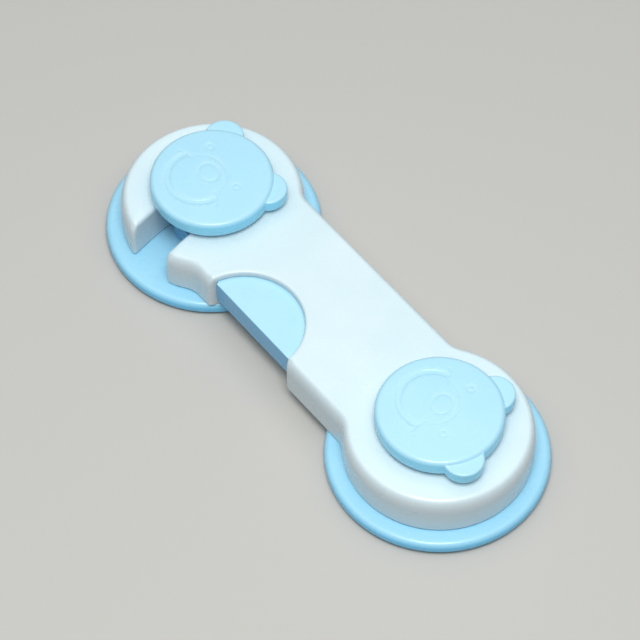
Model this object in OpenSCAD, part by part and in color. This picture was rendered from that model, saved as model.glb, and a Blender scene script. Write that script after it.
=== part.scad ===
/* Cabinet safety lock. A white arm joins two stick-on discs. It swings on the pivot post and hooks over the
   catch post, where a spring bolt keeps it until the push button draws the bolt back.
   Millimetres, +Z up. Origin midway between the two posts, on the plane that the pads stick to.
   +Y runs from the pivot post to the catch post. The button side is -X. */

/* [Discs and posts] */
// Distance between the two post centres
post_spacing = 81; // [68:0.5:100]
// Diameter of each base disc
base_d = 50; // [46:1:60]
// Thickness of each base disc
base_t = 2.8; // [2.4:0.1:3.6]
// Rounding of the upper rim of each base disc
rim_r = 1.4; // [0.8:0.1:1.8]
// Diameter of each post
post_d = 10; // [9.4:0.1:10.4]
// Diameter of each adhesive foam pad
pad_d = 45; // [36:1:45]
// Thickness of each adhesive foam pad
pad_t = 0.8; // [0.6:0.1:1.6]

/* [Arm] */
// Diameter of the round ends of the arm
arm_end_d = 41.6; // [40.8:0.2:48]
// Width of the waist between the ends
waist_w = 32.2; // [31:0.2:35]
// Height of the arm from skirt to top
arm_h = 10.1; // [9.4:0.1:12]
// Thickness of the skirt
skirt_t = 2; // [1.6:0.1:2.2]
// Thickness of the top wall
top_t = 1.4; // [1.2:0.1:2]
// Thickness of the inner walls and ribs
rib_t = 1.6; // [1.2:0.1:1.8]
// Rounding of the outer top edge
edge_r = 3; // [2:0.1:3.4]
// Rounding of the corners at the hook mouth and the finger cut
corner_r = 1.2; // [0.6:0.1:1.6]
// Radius of the hollow corners where the waist meets the ends
blend_r = 6; // [4:0.5:8]

/* [Button and bolt] */
// Diameter of the half-round finger cut
cut_d = 27.4; // [25:0.2:27.8]
// Distance of the finger cut from the catch post
cut_back = 33.5; // [33:0.5:36]
// How far the button is pressed
button_travel = 6; // [5:0.25:6]
// How far the bolt is drawn back
bolt_travel = 8.4; // [7:0.1:8.4]
// Thickness of the bolt
bolt_t = 2.8; // [2.4:0.1:3]
// Width of the bolt nose
nose_w = 4.5; // [4:0.1:5.4]
// Height of the bolt nose
nose_h = 5.2; // [3.4:0.1:6]

/* [Caps] */
// Diameter of the round face of each cap
cap_d = 28.4; // [26:0.2:34]
// Height of the edge of each cap
cap_h = 3.8; // [3.6:0.1:5]
// Rise of the domed face
dome_h = 0.5; // [0.2:0.1:1.2]
// Rounding of the edge of the face
crown_r = 0.8; // [0.5:0.1:1.4]
// Diameter of each ear
ear_d = 9.4; // [8:0.2:11]
// Height of each ear
ear_h = 3.5; // [2.6:0.1:3.6]
// Distance of each ear from the middle of the cap
ear_reach = 12.9; // [12:0.1:14.5]
// Turn of each ear from the top of the head, in degrees
ear_turn = 45; // [35:1:55]
// Turn of the catch cap from +X, in degrees
catch_turn = -5; // [-180:1:180]
// Turn of the pivot cap from +X, in degrees
pivot_turn = -62; // [-180:1:180]

/* [Hidden] */
$fn = 96;

// Clearances: between moving bodies, beside guides, round the posts, inside one body; and how far unions bite
run_gap = 0.3;
slide_gap = 0.2;
eye_gap = 0.1;
hook_gap = 0.15;
fit_gap = 0.05;
cap_gap = 1.6;
bite = 0.5;

// Heights
base_top = pad_t + base_t;
arm_z = base_top + run_gap;
arm_top = arm_z + arm_h;
ceiling = arm_top - top_t;
cap_wall = 1.8;
cap_z = arm_top + cap_gap;
cap_rim = cap_z + cap_h;
cap_roof = cap_rim - cap_wall;
post_top = cap_roof - slide_gap;

// Plan of the arm, seen from the pivot post
arm_r = arm_end_d / 2;
waist_h = waist_w / 2;
inner_r = arm_r - skirt_t;
inner_h = waist_h - skirt_t;
skirt_edge = 0.4;
post_r = post_d / 2;
eye_r = post_r + eye_gap;
eye_wall = 2.4;
seat_r = post_r + 2 * hook_gap;
slot_in = post_spacing - post_r - hook_gap;
slot_out = post_spacing + post_r + hook_gap;
cut_r = cut_d / 2;
cut_out = 0.8;
cut_x = -waist_h - cut_out;
cut_y = post_spacing - cut_back;
cut_h = sqrt(pow(cut_r, 2) - pow(cut_out, 2));

// Button: a plate under the top wall, a face that fills the finger cut, and a pin on a tongue
cover_t = 1;
latch_z = arm_z + cover_t + slide_gap;
plate_z = latch_z + bolt_t + run_gap;
button_top = ceiling - run_gap;
plate_x0 = -inner_h + eye_gap;
face_in = 1.6;
face_t = 6.1;
button_x0 = -waist_h + face_in;
face_h = sqrt(pow(cut_r, 2) - pow(button_x0 - cut_x, 2));
shoulder = 1.6;
lip_h = face_h - run_gap;
plate_h = face_h + shoulder;
plate_x1 = cut_x + cut_r + shoulder;
pin_r = 1.4;
pin_wall = 1.7;
pin_pad = pin_r + slide_gap + pin_wall;
pin_x = plate_x1 + shoulder;
pin_y = cut_y + cut_r / 2;
lip_x1 = pin_x - pin_pad - run_gap - button_travel;

// Bolt: a tall nose across the hook slot, a crosspiece, and a tail with a slanted slot for the pin
guide_y = cut_y + plate_h + slide_gap;
nose_gap = 0.9;
nose_edge = 0.8;
nose_x1 = -post_r - nose_gap;
nose_x0 = nose_x1 - nose_w;
nose_y1 = sqrt(pow(slot_in, 2) - pow(nose_x0, 2)) - slide_gap + bolt_travel;
nose_top = latch_z + nose_h;
nose_y0 = guide_y + rib_t + slide_gap + bolt_travel;
cross_y0 = cut_y + lip_h + run_gap + bolt_travel;
cross_y1 = sqrt(pow(slot_in - rib_t, 2) - pow(nose_x0, 2)) - slide_gap;
tail_x0 = pin_x - pin_pad;
tail_x1 = pin_x + button_travel + pin_pad;
tail_y0 = pin_y - pin_pad;

// Return spring between the bulkhead and the tail
bulkhead_y = cut_y - plate_h - slide_gap;
wire_r = 0.28;
coil_r = 1.5;
coils = 10;
coil_steps = 8;
wire_sides = 6;
peg_r = 0.9;
peg_len = 2.8;
spring_x = tail_x1 - coil_r - wire_r - run_gap;
spring_z = latch_z + coil_r + wire_r;

// Screws of the cover and of the caps
screw_r = 0.95;
screw_len = 5;
head_r = 1.85;
slot_w = 0.4;
boss_r = 2.3;
screw_y = bulkhead_y - rib_t - boss_r - run_gap;
screw_x = inner_h / 2;
screw_xy = [[-screw_x, screw_y], [screw_x, screw_y],
            [inner_r - boss_r - run_gap - skirt_t, post_spacing - seat_r - boss_r - run_gap]];
cover_y0 = screw_y - boss_r - skirt_t;
bolt_r = 1.5;
bolt_len = 9.2;
bolt_head_r = 2.9;
bolt_head_h = 2;
bolt_slot_w = 0.8;
head_top = base_top + slide_gap;
peg_wall = 1;
peg_floor = 2.5;
peg_bore_r = bolt_r + peg_wall;
peg_bore_z = head_top + peg_floor;

// Points of an arc, used for every rounded edge
function arc(cx, cy, r, a0, a1, n = 6) =
    [for (i = [0:n]) let (a = a0 + (a1 - a0) * i / n) [cx + r * cos(a), cy + r * sin(a)]];

// Where the hook slot's wall of radius s, about the pivot post, comes out of the round end
function mouth_y(s) = (pow(s, 2) + pow(post_spacing, 2) - pow(arm_r, 2)) / (2 * post_spacing);
function mouth(s) = [-sqrt(pow(s, 2) - pow(mouth_y(s), 2)), mouth_y(s)];

// Disc with rounded lower and upper edges
module round_plate(r, z0, z1, low, top) {
    rotate_extrude() polygon(concat([[0, z0]],
                                    arc(r - low, z0 + low, low, -90, 0, 4),
                                    arc(r - top, z1 - top, top, 0, 90),
                                    [[0, z1]]));
}

module rod(r, z0, z1) {
    translate([0, 0, z0]) cylinder(r = r, h = z1 - z0);
}

module block(x0, x1, y0, y1, z0, z1) {
    translate([x0, y0, z0]) cube([x1 - x0, y1 - y0, z1 - z0]);
}

module at_pivot() {
    translate([0, -post_spacing / 2, 0]) children();
}

module at_catch() {
    translate([0, post_spacing / 2, 0]) children();
}

// Hollow corner between a round end and the waist, with the same edge rounding
module blend() {
    sink = 0.08;
    bx = waist_h + blend_r - sink;
    by = sqrt(pow(arm_r + blend_r - sink, 2) - pow(bx, 2));
    difference() {
        translate([0, 0, arm_z]) linear_extrude(arm_h) polygon([[0, 0], [bx, by], [0, by]]);
        translate([bx, by, 0]) rotate_extrude()
            polygon(concat([[0, arm_z - bite], [blend_r, arm_z - bite]],
                           arc(blend_r + edge_r, arm_top - edge_r, edge_r, 180, 90),
                           [[blend_r + edge_r, arm_top + bite], [0, arm_top + bite]]));
    }
}

// Outer body: two round ends joined by the waist
module arm_outside() {
    for (y = [0, post_spacing]) {
        translate([0, y, 0]) round_plate(arm_r, arm_z, arm_top, skirt_edge, edge_r);
    }
    translate([0, post_spacing, 0]) rotate([90, 0, 0]) linear_extrude(post_spacing)
        polygon(concat(arc(edge_r - waist_h, arm_top - edge_r, edge_r, 90, 180),
                       [[-waist_h, arm_z], [waist_h, arm_z]],
                       arc(waist_h - edge_r, arm_top - edge_r, edge_r, 0, 90)));
    for (m = [0, 1]) mirror([m, 0, 0]) {
        blend();
        translate([0, post_spacing, 0]) mirror([0, 1, 0]) blend();
    }
}

// Room inside the skirt
module arm_inside(gap, z0, z1) {
    for (y = [0, post_spacing]) {
        translate([0, y, 0]) rod(inner_r - gap, z0, z1);
    }
    block(-inner_h + gap, inner_h - gap, 0, post_spacing, z0, z1);
}

// Arc slot that the catch post leaves by, swung about the pivot post, with its round seat
module hook_slot(extra, z0, z1) {
    intersection() {
        difference() {
            rod(slot_out + extra, z0, z1);
            rod(slot_in - extra, z0 - bite, z1 + bite);
        }
        block(-2 * arm_r, 0, 0, 2 * post_spacing, z0, z1);
    }
    translate([0, post_spacing, 0]) rod(seat_r + extra, z0, z1);
}

// Half-round cut over the button
module finger_cut(z0, z1) {
    translate([cut_x, cut_y, 0]) rod(cut_r, z0, z1);
}

// Cuts an upright edge round. Its walls leave corner p at the angles a and b, with a below b
module corner_cut(p, a, b) {
    half = (b - a) / 2;
    reach = corner_r / tan(half);
    far = corner_r / sin(half);
    translate([p[0], p[1], arm_z - bite]) rotate(a + half) linear_extrude(arm_h + 2 * bite)
        polygon(concat([[-far, 0], [reach * cos(half), -reach * sin(half)] + bite * [-sin(half), -cos(half)]],
                       arc(far, 0, corner_r, 270 - half, 90 + half),
                       [[reach * cos(half), reach * sin(half)] + bite * [-sin(half), cos(half)]]));
}

// The two corners of the hook mouth and the two of the finger cut
module rounded_corners() {
    near = mouth(slot_in);
    away = mouth(slot_out);
    corner_cut(near, atan2(near[1] - post_spacing, near[0]) + 90, atan2(near[1], near[0]) - 90);
    corner_cut(away, atan2(away[1], away[0]) - 90, atan2(away[1] - post_spacing, away[0]) - 90);
    corner_cut([-waist_h, cut_y + cut_h], 0, 90);
    corner_cut([-waist_h, cut_y - cut_h], -90, 0);
}

// Peg that keeps one end of the spring
module spring_peg(dir, y) {
    translate([spring_x, y, spring_z]) rotate([-90 * dir, 0, 0]) rod(peg_r, -bite, peg_len);
}

module arm_shell() {
    top = ceiling + bite;
    color("white") at_pivot() difference() {
        union() {
            difference() {
                arm_outside();
                arm_inside(0, arm_z - bite, ceiling);
            }
            // Eye round the pivot post
            rod(eye_r + eye_wall, arm_z, top);
            // Walls of the hook slot
            intersection() {
                hook_slot(rib_t, arm_z, top);
                translate([0, post_spacing, 0]) rod(arm_r - skirt_t / 2, arm_z, top);
            }
            // Bulkhead that the spring pushes on, and the upper guide beside the button
            block(-inner_h - bite, inner_h + bite, bulkhead_y - rib_t, bulkhead_y, arm_z + cover_t, top);
            spring_peg(1, bulkhead_y);
            block(-inner_h - bite, plate_x1, guide_y, guide_y + rib_t, plate_z, top);
            // Stiffening ribs between the eye and the bulkhead
            for (x = [-eye_r, eye_r] * 0.7) {
                block(x - rib_t / 2, x + rib_t / 2, eye_r + eye_wall / 2, bulkhead_y - rib_t / 2,
                      arm_z + 2 * cover_t, top);
            }
            // Bosses for the cover screws
            for (p = screw_xy) {
                translate([p[0], p[1], 0]) rod(boss_r, arm_z + cover_t, top);
            }
        }
        rod(eye_r, 0, arm_top + bite);
        hook_slot(0, 0, arm_top + bite);
        finger_cut(0, arm_top + bite);
        rounded_corners();
        block(nose_x0 - slide_gap, nose_x1 + slide_gap, cross_y1 - rib_t, post_spacing - post_r + bite,
              latch_z - slide_gap, nose_top + slide_gap);
        for (p = screw_xy) {
            translate([p[0], p[1], 0]) rod(screw_r + fit_gap, 0, arm_z + cover_t + screw_len + slide_gap);
        }
    }
}

module cover_plate() {
    color("whitesmoke") at_pivot() difference() {
        intersection() {
            arm_inside(2 * fit_gap, arm_z, arm_z + cover_t);
            block(-arm_r, arm_r, cover_y0, post_spacing - post_r, 0, arm_top);
        }
        hook_slot(rib_t + 2 * fit_gap, 0, arm_top);
        finger_cut(0, arm_top);
        for (p = screw_xy) {
            translate([p[0], p[1], arm_z])
                cylinder(r1 = head_r + 2 * fit_gap, r2 = screw_r + 2 * fit_gap, h = cover_t);
        }
    }
}

module cover_screws() {
    color("silver") at_pivot() for (p = screw_xy) {
        translate([p[0], p[1], arm_z]) difference() {
            union() {
                translate([0, 0, fit_gap]) cylinder(r1 = head_r, r2 = screw_r, h = cover_t - fit_gap);
                rod(screw_r, cover_t / 2, cover_t + screw_len);
            }
            for (a = [0, 90]) {
                rotate(a) block(-head_r * 0.6, head_r * 0.6, -slot_w / 2, slot_w / 2, -bite, cover_t / 2);
            }
        }
    }
}

module push_button() {
    color("skyblue") at_pivot() {
        block(plate_x0, plate_x1, cut_y - plate_h, cut_y + plate_h, plate_z, button_top);
        block(button_x0, lip_x1, cut_y - lip_h, cut_y + lip_h, button_top - face_t, button_top);
        block(plate_x1 - bite, pin_x + pin_pad, pin_y - pin_pad, pin_y + pin_pad, plate_z, button_top);
        translate([pin_x, pin_y, 0]) rod(pin_r, latch_z + slide_gap, plate_z + bite);
    }
}

module latch_bolt() {
    z1 = latch_z + bolt_t;
    track = pin_r + eye_gap;
    color("deepskyblue") at_pivot() {
        difference() {
            union() {
                block(tail_x0, tail_x1, tail_y0, cross_y1, latch_z, z1);
                block(nose_x0, tail_x1, cross_y0, cross_y1, latch_z, z1);
                block(nose_x0, nose_x1, cross_y0, nose_y1, latch_z, z1);
                block(nose_x0, nose_x1, nose_y0, nose_y1, latch_z, nose_top);
            }
            // Slanted slot: the pin draws the bolt back as the button goes in
            translate([pin_x, pin_y, 0]) {
                rod(track + fit_gap, 0, arm_top);
                translate([button_travel, bolt_travel, 0]) rod(track + fit_gap, 0, arm_top);
                rotate(atan2(bolt_travel, button_travel))
                    block(0, norm([button_travel, bolt_travel]), -track, track, 0, arm_top);
            }
            // Lead-in corners of the nose
            for (x = [nose_x0, nose_x1]) {
                translate([x, nose_y1, 0]) rotate(45)
                    block(-nose_edge, nose_edge, -nose_edge, nose_edge, 0, arm_top);
            }
        }
        spring_peg(-1, tail_y0);
    }
}

// Point on the spring's wire: closed end turns, open turns between them
function wire_point(i, n) =
    let (t = i / n, a = 360 * coils * t, rise = tail_y0 - bulkhead_y - 2 * wire_r - 2 * fit_gap,
         lift = t < 0.1 ? t * 1.2 : t > 0.9 ? 1 - (1 - t) * 1.2 : 0.12 + (t - 0.1) * 0.95)
    [coil_r * cos(a), bulkhead_y + wire_r + fit_gap + rise * lift, coil_r * sin(a)];

module return_spring() {
    n = coils * coil_steps;
    rings = [for (i = [0:n])
        let (p = wire_point(i, n), a = 360 * coils * i / n, out = [cos(a), 0, sin(a)])
        for (k = [0:wire_sides - 1])
            let (b = 360 * k / wire_sides) p + wire_r * (cos(b) * out + sin(b) * [0, 1, 0])];
    sides = [for (i = [0:n - 1]) for (k = [0:wire_sides - 1])
        let (m = (k + 1) % wire_sides, r0 = i * wire_sides, r1 = r0 + wire_sides)
        each [[r0 + k, r1 + k, r1 + m], [r0 + k, r1 + m, r0 + m]]];
    last = n * wire_sides + wire_sides - 1;
    ends = [[for (k = [0:wire_sides - 1]) k], [for (k = [0:wire_sides - 1]) last - k]];
    color("gray") at_pivot() translate([spring_x, 0, spring_z]) polyhedron(rings, concat(sides, ends));
}

// Disc with its post, bored from below for the cap screw and from above for the peg of the cap
module base_disc() {
    color("lightskyblue") difference() {
        union() {
            round_plate(base_d / 2, pad_t, base_top, rim_r / 2, rim_r);
            rod(post_r, pad_t + base_t / 2, post_top);
        }
        rod(bolt_head_r + run_gap, 0, head_top);
        rod(bolt_r + slide_gap, 0, post_top);
        rod(peg_bore_r, peg_bore_z, post_top + bite);
    }
}

// Bear head: a domed shell with a socket for the post and a peg for the screw, and two ears set a little lower
module bear_cap(turn) {
    cap_r = cap_d / 2;
    flat_r = cap_r - crown_r;
    low = cap_wall / 4;
    ear_edge = 0.5;
    seam_turn = 30;
    hollow_r = cap_r - cap_wall;
    socket_r = post_r + fit_gap;
    socket_z = arm_top + run_gap;
    peg_r = peg_bore_r - fit_gap;
    peg_z = peg_bore_z + run_gap;
    pilot_r = bolt_r + fit_gap;
    pilot_z = head_top + bolt_len + run_gap;
    dome = [for (i = [1:8]) [flat_r * (1 - i / 8), cap_rim + dome_h * (1 - pow(1 - i / 8, 2))]];
    color("powderblue") rotate(turn) {
        rotate(seam_turn) rotate_extrude()
            polygon(concat([[pilot_r, peg_z], [peg_r, peg_z], [peg_r, cap_roof],
                            [socket_r, cap_roof], [socket_r, socket_z],
                            [socket_r + rib_t, socket_z], [socket_r + rib_t, cap_roof],
                            [hollow_r, cap_roof], [hollow_r, cap_z]],
                           arc(cap_r - low, cap_z + low, low, -90, 0, 4),
                           arc(flat_r, cap_rim - crown_r, crown_r, 0, 90),
                           dome,
                           [[0, pilot_z], [pilot_r, pilot_z]]));
        for (a = [-ear_turn, ear_turn]) {
            difference() {
                rotate(a) translate([ear_reach, 0, 0])
                    round_plate(ear_d / 2, cap_z + 2 * fit_gap, cap_z + ear_h, low, ear_edge);
                rod(cap_r - cap_wall / 2, 0, cap_rim + dome_h);
            }
        }
    }
}

module cap_screw() {
    head_z = head_top - bolt_head_h;
    color("silver") difference() {
        union() {
            round_plate(bolt_head_r, head_z, head_top, bolt_head_h / 3, fit_gap);
            rod(bolt_r, head_top - bite, head_top + bolt_len);
        }
        for (a = [0, 90]) {
            rotate(a) block(-bolt_r, bolt_r, -bolt_slot_w / 2, bolt_slot_w / 2, 0, head_z + bolt_head_h / 2);
        }
    }
}

module foam_pad() {
    color("dimgray") rod(pad_d / 2, 0, pad_t);
}

module pivot_base() { at_pivot() base_disc(); }
module pivot_cap() { at_pivot() bear_cap(pivot_turn); }
module pivot_screw() { at_pivot() cap_screw(); }
module pivot_pad() { at_pivot() foam_pad(); }
module catch_base() { at_catch() base_disc(); }
module catch_cap() { at_catch() bear_cap(catch_turn); }
module catch_screw() { at_catch() cap_screw(); }
module catch_pad() { at_catch() foam_pad(); }

arm_shell();
cover_plate();
cover_screws();
push_button();
latch_bolt();
return_spring();
pivot_base();
pivot_cap();
pivot_screw();
pivot_pad();
catch_base();
catch_cap();
catch_screw();
catch_pad();
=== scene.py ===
# %% [markdown]
# # A stick-on cabinet safety lock
# A white moulded arm joins two pale blue discs. The arm turns on one post and hooks over the other.
# A push button in a half-round finger cut draws a spring bolt back. Two bear-head caps cover the posts.
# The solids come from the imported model. This lesson dresses them: softer edges, a relief on the caps,
# real screws and a wound spring, and materials made from nodes.

# %% Load the frame
import math

import bmesh
import bpy
import numpy as np
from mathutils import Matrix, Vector
from mathutils.geometry import delaunay_2d_cdt


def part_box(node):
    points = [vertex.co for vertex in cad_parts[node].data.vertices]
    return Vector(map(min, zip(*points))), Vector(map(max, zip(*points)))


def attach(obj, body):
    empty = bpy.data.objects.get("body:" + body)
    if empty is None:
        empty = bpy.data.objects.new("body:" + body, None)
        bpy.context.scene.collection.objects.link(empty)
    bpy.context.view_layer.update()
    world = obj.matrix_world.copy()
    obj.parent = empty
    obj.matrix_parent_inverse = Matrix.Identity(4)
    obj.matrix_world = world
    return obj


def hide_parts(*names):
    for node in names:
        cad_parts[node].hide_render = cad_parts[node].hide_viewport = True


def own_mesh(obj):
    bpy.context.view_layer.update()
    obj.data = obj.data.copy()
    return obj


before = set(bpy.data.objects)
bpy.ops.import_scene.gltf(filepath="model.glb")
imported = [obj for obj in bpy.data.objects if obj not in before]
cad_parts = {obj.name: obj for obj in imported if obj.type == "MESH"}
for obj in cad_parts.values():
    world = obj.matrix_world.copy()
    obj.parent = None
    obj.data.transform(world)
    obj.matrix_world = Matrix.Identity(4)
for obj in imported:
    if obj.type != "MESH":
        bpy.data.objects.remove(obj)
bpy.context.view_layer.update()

MM = 0.001

# %% [markdown]
# ## Camera, floor and light
# The photograph looks down on the lock at 55 degrees from the button side, through a long lens.
# A long lens far away keeps both discs the same size, so the lens is worked out from the fitted view:
# 12.3 degrees across the frame. The floor is one plain pale sheet. Two soft lamps copy a light tent:
# a broad one overhead, and a lower one by the camera that draws the bright lines on the near rims.


# %% Objects and their places
def placed(name, data):
    """A new object of the scene."""
    made = bpy.data.objects.new(name, data)
    bpy.context.scene.collection.objects.link(made)
    return made


def aimed(name, data, place, direction):
    """A camera or a lamp at a place, turned to look in a direction."""
    made = placed(name, data)
    made.location = place
    made.rotation_mode = "QUATERNION"
    made.rotation_quaternion = direction.to_track_quat("-Z", "Y")
    return made


# %% Camera
VIEW_TURN, VIEW_RISE, VIEW_FAR, VIEW_ANGLE = -38.54, 54.84, 675.8, 12.31  # degrees, and mm for the distance
SENSOR, CLIP_NEAR, CLIP_FAR = 36, 0.01, 20                                # mm, then metres
LOOK_AT = Vector((2.9, 4.62, 0)) * MM

turn, rise = math.radians(VIEW_TURN), math.radians(VIEW_RISE)
back = Vector((math.sin(turn) * math.cos(rise), -math.cos(turn) * math.cos(rise), math.sin(rise)))
camera = aimed("camera", bpy.data.cameras.new("camera"), LOOK_AT + back * VIEW_FAR * MM, -back)
camera.data.sensor_width = SENSOR
camera.data.lens = SENSOR / 2 / math.tan(math.radians(VIEW_ANGLE / 2))
camera.data.clip_start, camera.data.clip_end = CLIP_NEAR, CLIP_FAR
bpy.context.scene.camera = camera
bpy.context.scene.view_settings.view_transform = "Standard"
print("lens in mm:", round(camera.data.lens, 1))


# %% Colours and nodes
def linear(code):
    """A colour written as sRGB hex, in the linear values that a shader works with."""
    parts = [int(code[i:i + 2], 16) / 255 for i in (1, 3, 5)]
    return [c / 12.92 if c <= 0.04045 else ((c + 0.055) / 1.055) ** 2.4 for c in parts] + [1]


def blank(name):
    """A new material, its node tree and its shader."""
    made = bpy.data.materials.new(name)
    made.use_nodes = True
    return made, made.node_tree, made.node_tree.nodes["Principled BSDF"]


def add(tree, kind, settings=None, inputs=None):
    """Adds a node with its settings. An input is a value, or the output that is linked to it."""
    made = tree.nodes.new(kind)
    for key, value in (settings or {}).items():
        setattr(made, key, value)
    for key, value in (inputs or {}).items():
        if isinstance(value, bpy.types.NodeSocket):
            tree.links.new(value, made.inputs[key])
        else:
            made.inputs[key].default_value = value
    return made


print("mid grey in linear values:", [round(c, 3) for c in linear("#808080")])


# %% Floor and lamps
FLOOR_HALF, FLOOR_DROP = 2.0, 0.00002  # metres; a hair under the pads, so that no faces coincide


def lamp(name, place, aim, size, power, tint):
    """A square soft lamp that shines on a point, with its sizes in millimetres."""
    data = bpy.data.lights.new(name, "AREA")
    data.shape, data.size, data.energy, data.color = "SQUARE", size * MM, power, linear(tint)[:3]
    aimed(name, data, Vector(place) * MM, Vector(aim) - Vector(place))


lamp("overhead_softbox", place=(0, 0, 850), aim=(0, 0, 0), size=1200, power=4.9, tint="#fffdfa")
lamp("key_softbox", place=(-138, -173, 660), aim=(0, 0, 10), size=280, power=2.5, tint="#ffffff")

world = bpy.data.worlds.new("tent")
world.use_nodes = True
bpy.context.scene.world = world
sky = world.node_tree.nodes["Background"].inputs
sky["Color"].default_value = linear("#d8eaf8")
sky["Strength"].default_value = 0.2

floor_mesh = bpy.data.meshes.new("floor")
corners = ((-1, -1), (1, -1), (1, 1), (-1, 1))
sheet = [(x * FLOOR_HALF, y * FLOOR_HALF, -FLOOR_DROP) for x, y in corners]
floor_mesh.from_pydata(sheet, [], [(0, 1, 2, 3)])
floor = placed("floor", floor_mesh)
paper, _, matt_skin = blank("studio_paper")
for label, value in {"Base Color": linear("#c8c6c1"), "Roughness": 0.9, "Specular IOR Level": 0.1}.items():
    matt_skin.inputs[label].default_value = value
floor_mesh.materials.append(paper)

# %% [markdown]
# ## Materials
# The arm, discs, caps and button are injection-moulded ABS. Straight from a polished mould it is satin:
# a soft highlight, faint waves where the melt flowed and cooled, and a very fine grain. Edges that hands
# rub are a touch paler and shinier. Walls get painted shade: a second, deeper colour comes in as the
# surface tips over, so upright faces render darker than tops. Pale plastic that lets light sink in does
# look deeper in colour on its walls; subsurface scattering could show that part, with more noise and
# longer renders. The size of each pattern is given in millimetres.

# %% Moulded ABS
FLOW, WAVE, GRAIN = 28, 7, 0.5      # mm: clouds in the colour, waves in the skin, mould grain
WAVE_RISE, GRAIN_RISE = 0.12, 0.02  # mm: height of the waves and of the grain
RUB_PALE, RUB_SHINE = 0.05, 0.06    # how much paler and smoother a rubbed edge is
SHADE_TIP_LOW, SHADE_TIP_HIGH = 0.1, 0.9        # upright part of the normal, from painted wall shade to top colour
ABS_IOR = 1.53


def moulded_abs(name, colour, cloud, wall, rough):
    """Satin ABS whose wall colour is painted shade. The grain of a real mould is near 0.1 mm; it is drawn at
    0.5 mm so that it shows.
    """
    made, tree, skin = blank(name)
    skin.inputs["IOR"].default_value = ABS_IOR
    where = add(tree, "ShaderNodeTexCoord")
    place = where.outputs["Object"]
    edge = add(tree, "ShaderNodeAttribute", {"attribute_name": "edge"}).outputs["Fac"]
    upright = add(tree, "ShaderNodeSeparateXYZ", {}, {0: where.outputs["Normal"]}).outputs["Z"]
    tip_for_wall_shade = add(tree, "ShaderNodeMath", {"operation": "ABSOLUTE"}, {0: upright})
    level = add(tree, "ShaderNodeMapRange", {"interpolation_type": "SMOOTHSTEP"},
                {"Value": tip_for_wall_shade.outputs[0], "From Min": SHADE_TIP_LOW, "From Max": SHADE_TIP_HIGH})
    flow = add(tree, "ShaderNodeTexNoise", {}, {"Vector": place, "Scale": 1 / (FLOW * MM), "Detail": 3})
    wave = add(tree, "ShaderNodeTexNoise", {}, {"Vector": place, "Scale": 1 / (WAVE * MM), "Detail": 2})
    grain = add(tree, "ShaderNodeTexNoise", {}, {"Vector": place, "Scale": 1 / (GRAIN * MM), "Detail": 1})
    spread = add(tree, "ShaderNodeMapRange", {"interpolation_type": "SMOOTHSTEP"},
                 {"Value": flow.outputs["Fac"], "From Min": 0.32, "From Max": 0.68})
    clouded = add(tree, "ShaderNodeMix", {"data_type": "RGBA"},
                  {0: spread.outputs["Result"], 6: linear(colour), 7: linear(cloud)})
    # Painted shade: the wall colour, deeper than the top, mixes in as the surface tips towards upright
    painted_wall_shade = add(tree, "ShaderNodeMix", {"data_type": "RGBA"},
                 {0: level.outputs["Result"], 6: linear(wall), 7: clouded.outputs[2]})
    paler = add(tree, "ShaderNodeMath", {"operation": "MULTIPLY"}, {0: edge, 1: RUB_PALE})
    rubbed = add(tree, "ShaderNodeMix", {"data_type": "RGBA"},
                 {0: paler.outputs[0], 6: painted_wall_shade.outputs[2], 7: linear("#ffffff")})
    tree.links.new(rubbed.outputs[2], skin.inputs["Base Color"])
    sheen = add(tree, "ShaderNodeMapRange", {"interpolation_type": "SMOOTHSTEP"},
                {"Value": wave.outputs["Fac"], "From Min": 0.3, "From Max": 0.7,
                 "To Min": rough - 0.05, "To Max": rough + 0.07})
    worn = add(tree, "ShaderNodeMath", {"operation": "MULTIPLY_ADD"},
               {0: edge, 1: -RUB_SHINE, 2: sheen.outputs["Result"]})
    tree.links.new(worn.outputs[0], skin.inputs["Roughness"])
    ripple = add(tree, "ShaderNodeBump", {},
                 {"Strength": 0.25, "Distance": WAVE_RISE * MM, "Height": wave.outputs["Fac"]})
    fine = add(tree, "ShaderNodeBump", {},
               {"Strength": 0.12, "Distance": GRAIN_RISE * MM, "Height": grain.outputs["Fac"],
                "Normal": ripple.outputs["Normal"]})
    tree.links.new(fine.outputs["Normal"], skin.inputs["Normal"])
    return made


# The fourth colour of each is its painted wall shade, deeper than the top
white_abs = moulded_abs("abs_white_satin", "#e0f3f8", "#d9eef4", "#d2e1e7", 0.3)
disc_abs = moulded_abs("abs_disc_blue", "#a8e3fc", "#a2dffa", "#72cdf8", 0.27)
cap_abs = moulded_abs("abs_cap_blue", "#b8eafc", "#b3e7fb", "#8ee0ff", 0.28)
button_abs = moulded_abs("abs_button_blue", "#b4e8fc", "#afe5fb", "#5cb2e2", 0.28)
# Painted shade: the bolt is the button's blue, made darker all over because it sits in shadow under the catch
# cap
shade_dark_bolt_abs = moulded_abs("abs_bolt_blue_painted_shade", "#86caee", "#80c6ec", "#4496c6", 0.3)
print("materials:", [m.name for m in bpy.data.materials])

# %% [markdown]
# ## Helpers for meshes
# A mesh is gathered in millimetres, merged, and turned into an object at the origin. On every point an
# "edge" value tells the material how tightly the surface bends there. Flat faces get 0 and small edges 1.
# Normals that are weighted by the size of the faces keep wide flats flat beside narrow rounds.


# %% From a mesh to a finished piece
SAME, SHORT, EDGE_GAIN = 1e-5, 0.05, 0.7  # mm: merging distance, least edge length; share per radian


def edge_values(bm):
    """How tightly the surface bends at each point, from 0 where it is flat to 1 on a small edge."""
    values = []
    for v in bm.verts:
        bends = [e.calc_face_angle(0) / max(e.calc_length(), SHORT) for e in v.link_edges if e.is_manifold]
        values.append(min(max(bends, default=0) * EDGE_GAIN, 1))
    return values


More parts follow.
